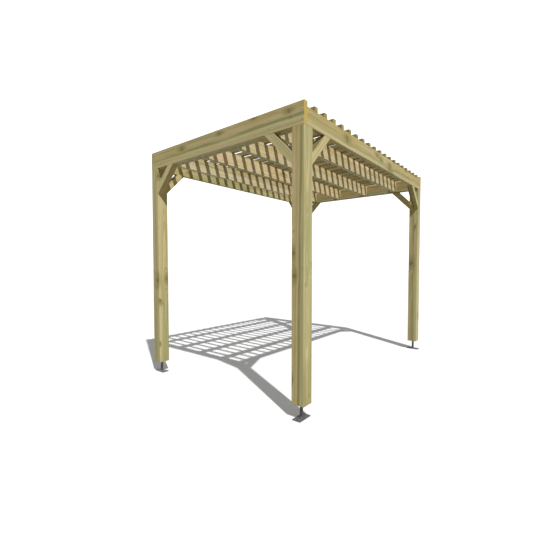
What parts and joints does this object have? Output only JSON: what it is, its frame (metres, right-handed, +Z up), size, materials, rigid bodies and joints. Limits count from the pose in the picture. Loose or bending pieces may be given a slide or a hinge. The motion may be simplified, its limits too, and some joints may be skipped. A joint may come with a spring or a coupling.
{
  "type": "pergola",
  "caption": "Free-standing rectangular timber pergola with square posts on steel feet, knee braces, an eaves frame and a flat slatted roof.",
  "frame": {"origin": "ground level, in the middle of the plan of the four feet", "axes": "+X to the right along the short side, +Y to the back along the long side, +Z up"},
  "size_m": [2.14, 3.085, 2.515],
  "materials": {
    "timber_post": "planed softwood, green-tinged pressure treatment",
    "timber_brace": "planed softwood, green-tinged pressure treatment",
    "timber_frame": "planed softwood with green and pinkish streaks",
    "timber_joist": "planed softwood, green-tinged pressure treatment",
    "timber_slat": "planed softwood, green-tinged pressure treatment",
    "steel": "dull dark grey galvanised steel"
  },
  "bodies": {
    "root": {"foot_front_left": "steel", "foot_front_right": "steel", "foot_back_left": "steel", "foot_back_right": "steel", "post_front_left": "timber_post", "post_front_right": "timber_post", "post_back_left": "timber_post", "post_back_right": "timber_post", "brace_front_left": "timber_brace", "brace_front_right": "timber_brace", "brace_back_left": "timber_brace", "brace_back_right": "timber_brace", "brace_left_front": "timber_brace", "brace_left_back": "timber_brace", "brace_right_front": "timber_brace", "brace_right_back": "timber_brace", "board_front": "timber_frame", "board_back": "timber_frame", "beam_front": "timber_frame", "beam_back": "timber_frame", "beam_left": "timber_frame", "beam_right": "timber_frame", "joist_1": "timber_joist", "joist_2": "timber_joist", "joist_3": "timber_joist", "joist_4": "timber_joist", "slat_01": "timber_slat", "slat_02": "timber_slat", "slat_03": "timber_slat", "slat_04": "timber_slat", "slat_05": "timber_slat", "slat_06": "timber_slat", "slat_07": "timber_slat", "slat_08": "timber_slat", "slat_09": "timber_slat", "slat_10": "timber_slat", "slat_11": "timber_slat", "slat_12": "timber_slat", "slat_13": "timber_slat", "slat_14": "timber_slat", "slat_15": "timber_slat", "slat_16": "timber_slat", "slat_17": "timber_slat", "slat_18": "timber_slat", "slat_19": "timber_slat"}
  },
  "joints": []
}
